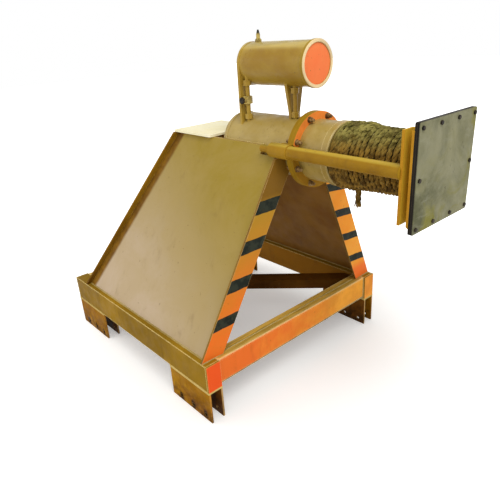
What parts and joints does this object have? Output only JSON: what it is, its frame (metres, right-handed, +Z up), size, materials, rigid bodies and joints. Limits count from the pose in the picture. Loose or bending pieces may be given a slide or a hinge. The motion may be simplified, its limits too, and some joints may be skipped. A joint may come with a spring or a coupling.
{
  "type": "railway buffer stop",
  "caption": "Hydraulic railway buffer stop: a steel frame astride the rails with leaning side webs, a rope-wound plunger, a square striking head and a small tank above the cylinder.",
  "frame": {"origin": "middle of the overall box at floor level, in the plane of symmetry", "axes": "+X from the frame to the striking head, along the track; +Y to the head's left; +Z up"},
  "size_m": [1.84, 1.125, 1.503],
  "materials": {
    "ochre_paint": "worn semi-gloss",
    "web_paint": "dusty",
    "stripe_paint": "semi-gloss",
    "dark_paint": "dirty",
    "deck_paint": "dusty",
    "pad_paint": "mottled",
    "black_paint": "satin",
    "disc_paint": "semi-gloss",
    "rim_paint": "semi-gloss",
    "bare_steel": "ground",
    "rope": "rough straw fibre",
    "brass": "dull"
  },
  "bodies": {
    "frame": {"barrel_flange": "ochre_paint", "barrel_rear_cap": "ochre_paint", "beam_end_plates": "ochre_paint", "cross_beam_front": "ochre_paint", "cross_beam_rear": "ochre_paint", "cylinder_barrel": "ochre_paint", "deck_plate": "deck_paint", "filler_nipple": "brass", "foot_front_left_inner": "dark_paint", "foot_front_left_outer": "dark_paint", "foot_front_right_inner": "dark_paint", "foot_front_right_outer": "dark_paint", "foot_rear_left_inner": "dark_paint", "foot_rear_left_outer": "dark_paint", "foot_rear_right_inner": "dark_paint", "foot_rear_right_outer": "dark_paint", "foot_top_plates": "ochre_paint", "front_flange_left": "stripe_paint", "front_flange_right": "stripe_paint", "gland_flange": "ochre_paint", "gland_sleeve": "ochre_paint", "guide_bracket_left": "ochre_paint", "guide_bracket_right": "ochre_paint", "oil_pipe_front": "ochre_paint", "oil_pipe_rear": "ochre_paint", "oil_valve": "ochre_paint", "plan_brace_halves": "dark_paint", "plan_brace_long": "dark_paint", "rear_flange_left": "ochre_paint", "rear_flange_right": "ochre_paint", "rod_guide_left": "ochre_paint", "rod_guide_right": "ochre_paint", "rope_wrap": "rope", "side_beam_left": "ochre_paint", "side_beam_right": "ochre_paint", "tank_front_disc": "disc_paint", "tank_rear_cap": "ochre_paint", "tank_rim": "rim_paint", "tank_saddle_front": "ochre_paint", "tank_saddle_rear": "ochre_paint", "tank_shell": "ochre_paint", "valve_knob": "black_paint", "web_left": "web_paint", "web_right": "web_paint"},
    "plunger": {"buffer_pad": "pad_paint", "guide_rod_left": "ochre_paint", "guide_rod_right": "ochre_paint", "head_back_plate": "black_paint", "head_channel_left": "ochre_paint", "head_channel_right": "ochre_paint", "plunger_tube": "bare_steel"}
  },
  "joints": [
    {"name": "buffer_stroke", "type": "slide", "parent": "frame", "child": "plunger", "axis": [-1, 0, 0], "range_m": [0, 0.12], "stiffness_N_per_m": 4000, "springref_m": -0.05, "deforming": ["rope_wrap"]}
  ]
}
